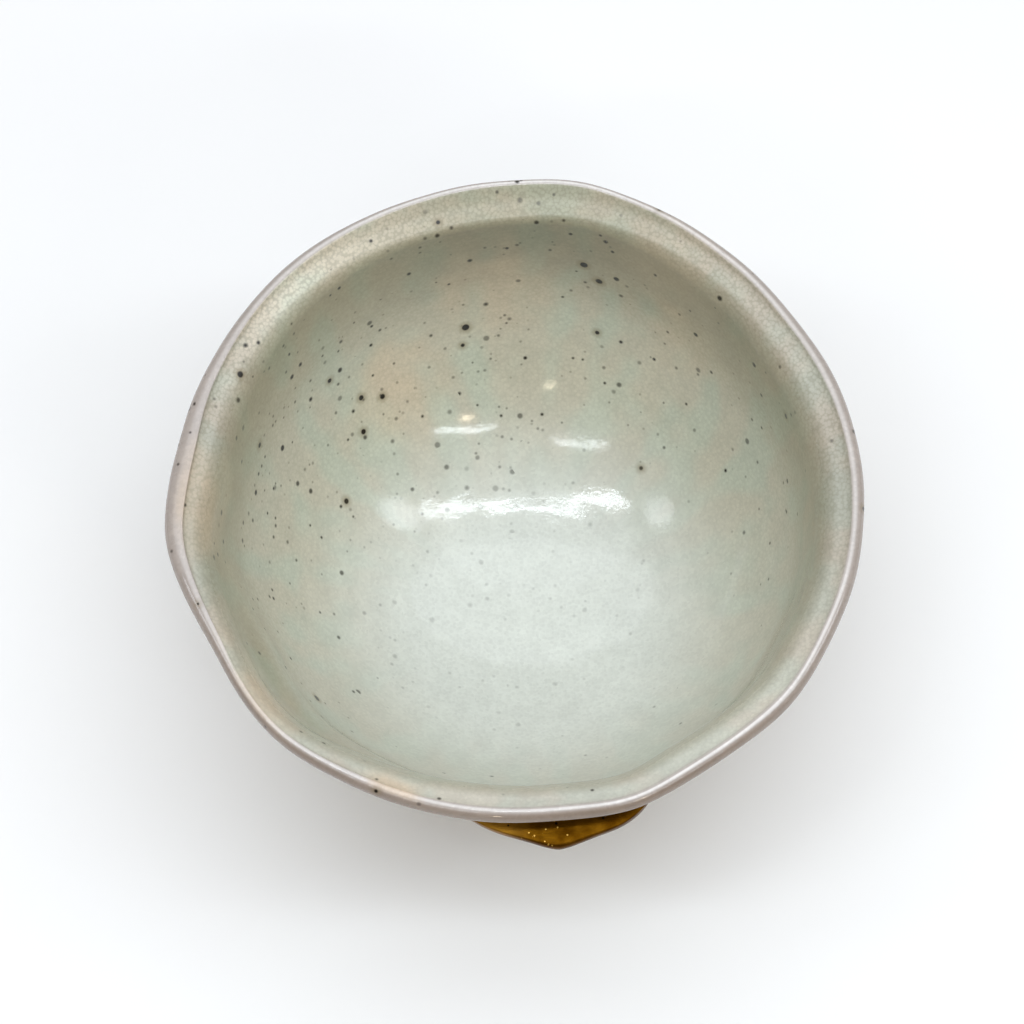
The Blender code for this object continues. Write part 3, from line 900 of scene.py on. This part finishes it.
# %% Large specks
# Place and radius in millimetres
LARGE_SPECKS = (((13.2, 53.5, 54.7), 0.75), ((16.1, 51.7, 50.9), 0.7), ((-9.6, 48.0, 37.9), 0.75),
                ((-50.1, 24.1, 68.1), 0.6), ((-29.8, 34.5, 34.6), 0.55), ((-25.8, 35.9, 32.1), 0.55),
                ((-29.5, 29.5, 29.7), 0.55), ((-32.8, 16.5, 25.7), 0.55), ((-35.5, 34.3, 42.9), 0.5),
                ((16.0, 47.4, 36.9), 0.45), ((49.6, 19.2, 59.7), 0.5), ((-47.8, 17.2, 51.3), 0.5),
                ((-10.2, 45.9, 34.3), 0.4), ((24.9, 25.9, 20.1), 0.4), ((-14.4, 55.4, 68.5), 0.4),
                ((-36.3, -29.6, 42.6), 0.65), ((49.1, -18.7, 54.9), 0.5), ((26.9, 56.9, 70.1), 0.3),
                ((62.4, -3.1, 69.1), 0.4), ((-24.1, -55.8, 69.0), 0.35), ((-56.1, -21.7, 70.1), 0.22))
LARGE_FADE = (-0.12 * MM, 0.14 * MM)
RUST_WIDTH = 1.1 * MM
RUST_STRENGTH = 0.5

surface = BVHTree.FromPolygons([vertex.co for vertex in data.vertices],
                               [face.vertices for face in data.polygons])
nearest = -1.0
for spot, radius in LARGE_SPECKS:
    on_glaze = surface.find_nearest(Vector(spot) * MM)[0]
    nearest = math_of("MAXIMUM", nearest, math_of("SUBTRACT", radius * MM, distance_to(on_glaze)))
large = math_of("MULTIPLY", ranged(nearest, *LARGE_FADE), veil)
rust = ranged(nearest, -RUST_WIDTH, 0.0, 0.0, RUST_STRENGTH)
tone = blended(rust, tone, linear("#7d6e50"))
tone = blended(math_of("MAXIMUM", speck, large), tone, linear("#1d1812"))
tree.links.new(tone, shader.inputs["Base Color"])
print("large specks:", len(LARGE_SPECKS))

# %% [markdown]
# ## Gloss
# The well and the lip are wet and glossy, the band between them dry to the eye, because its glaze is thin
# and full of cracks. Glass has an index of refraction of about 1.5. A bump node makes the finest unevenness
# without any more faces, and it breaks the bright streaks into sparkles.

# %% Gloss and fine relief
# Roughness of the wet glaze and what the lip adds to it, that of the dry band, and how uneven both are
WET_ROUGHNESS, LIP_ROUGHNESS, DRY_ROUGHNESS, UNEVEN_ROUGHNESS = 0.08, -0.04, 0.36, 0.06
PEEL_GRAIN = 0.7 * MM

dry = math_of("MULTIPLY", band, math_of("SUBTRACT", 1.0, edge))
grain = clouds(PEEL_GRAIN, 1.0)
wet = math_of("MULTIPLY_ADD", edge, LIP_ROUGHNESS, WET_ROUGHNESS)
roughness = math_of("MULTIPLY_ADD", grain, UNEVEN_ROUGHNESS, ranged(dry, 0.0, 1.0, wet, DRY_ROUGHNESS))
tree.links.new(roughness, shader.inputs["Roughness"])
shader.inputs["IOR"].default_value = 1.52
peel = math_of("MULTIPLY", grain, smooth_lip)
bump = node(tree, "ShaderNodeBump", {"Height": peel, "Strength": 0.4, "Distance": 0.04 * MM})
tree.links.new(bump.outputs[0], shader.inputs["Normal"])
print("glaze nodes:", len(tree.nodes))

# %% [markdown]
# ## The gold coat
# The leaf was brushed with liquid gold and fired once more at a low heat. Real gold bends light like a
# metal: it has no colour of its own under the shine, only a tinted mirror. It sits on rough glaze, so it
# isn't polished, and the iron specks show through it as dark dots. At the left it is worn thin and lighter,
# and in the middle a few rubbed flecks shine.

# %% Gold coat
# The worn and the rubbed place: the middle, the radii between which it fades, and its strength
THIN_PLACE, THIN_RADII, THIN_STRENGTH = Vector((-3.5, -60, 62.5)) * MM, (1.5 * MM, 6.5 * MM), 0.8
RUBBED_PLACE, RUBBED_RADII, RUBBED_STRENGTH = Vector((4.5, -61.5, 62.5)) * MM, (2 * MM, 5 * MM), 0.9
# Spacing of the dark specks and of the bright flecks, and their radii as shares of that
GOLD_SPECK, GOLD_SPECK_RADIUS = 2.4 * MM, 0.10
FLECK, FLECK_RADIUS = 0.9 * MM, 0.17
WEAR, BRUSH_GRAIN = 3 * MM, 0.9 * MM
GOLD_ROUGHNESS = (0.32, 0.50)

gold, tree, shader = new_material("fired_gold_coat")
place = node(tree, "ShaderNodeTexCoord").outputs["Object"]
shader.inputs["Metallic"].default_value = 1.0
worn = clouds(WEAR, 5.0)
tone = blended(ranged(worn, 0.38, 0.66), linear("#603f08"), linear("#472a02"))
thin_share = ranged(distance_to(THIN_PLACE), *THIN_RADII, THIN_STRENGTH, 0.0)
tone = blended(thin_share, tone, linear("#8c6420"))
distance, luck = cells(GOLD_SPECK)
tone = blended(math_of("LESS_THAN", distance, GOLD_SPECK_RADIUS), tone, linear("#1e160c"))
distance, luck = cells(FLECK)
rubbed_share = ranged(distance_to(RUBBED_PLACE), *RUBBED_RADII, RUBBED_STRENGTH, 0.0)
rubbed = math_of("LESS_THAN", luck[0], rubbed_share)
fleck = math_of("MULTIPLY", rubbed, math_of("LESS_THAN", distance, FLECK_RADIUS))
tone = blended(fleck, tone, linear("#c39a4a"))
tree.links.new(tone, shader.inputs["Base Color"])
tree.links.new(ranged(worn, 0.0, 1.0, *GOLD_ROUGHNESS), shader.inputs["Roughness"])
grain = clouds(BRUSH_GRAIN, 4.0)
bump = node(tree, "ShaderNodeBump", {"Height": grain, "Strength": 0.5, "Distance": 0.12 * MM})
tree.links.new(bump.outputs[0], shader.inputs["Normal"])
print("gold nodes:", len(tree.nodes))

# %% [markdown]
# ## Bare clay
# The foot was wiped clean of glaze so that the bowl wouldn't stick to the kiln shelf. Bare stoneware is a
# toasted buff, quite matt, with sand grains of about a millimetre in it.

# %% Bare stoneware
TOAST_PATCH, SAND_GRAIN = 12 * MM, 1.1 * MM
SAND_LIGHT = (0.88, 1.10)

clay, tree, shader = new_material("bare_stoneware")
place = node(tree, "ShaderNodeTexCoord").outputs["Object"]
toast = ranged(clouds(TOAST_PATCH, 4.0), 0.35, 0.65)
tone = blended(toast, linear("#b08a63"), linear("#97704d"))
distance, luck = cells(SAND_GRAIN)
tree.links.new(lit(tone, ranged(luck[0], 0.0, 1.0, *SAND_LIGHT)), shader.inputs["Base Color"])
shader.inputs["Roughness"].default_value = 0.85
bump = node(tree, "ShaderNodeBump", {"Height": distance, "Strength": 0.4, "Distance": 0.1 * MM})
tree.links.new(bump.outputs[0], shader.inputs["Normal"])
for material in (glaze, gold, clay):
    data.materials.append(material)
print("materials:", [material.name for material in data.materials])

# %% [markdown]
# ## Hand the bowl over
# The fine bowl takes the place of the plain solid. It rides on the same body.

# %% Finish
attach(bowl, "root")
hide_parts("tea_bowl")
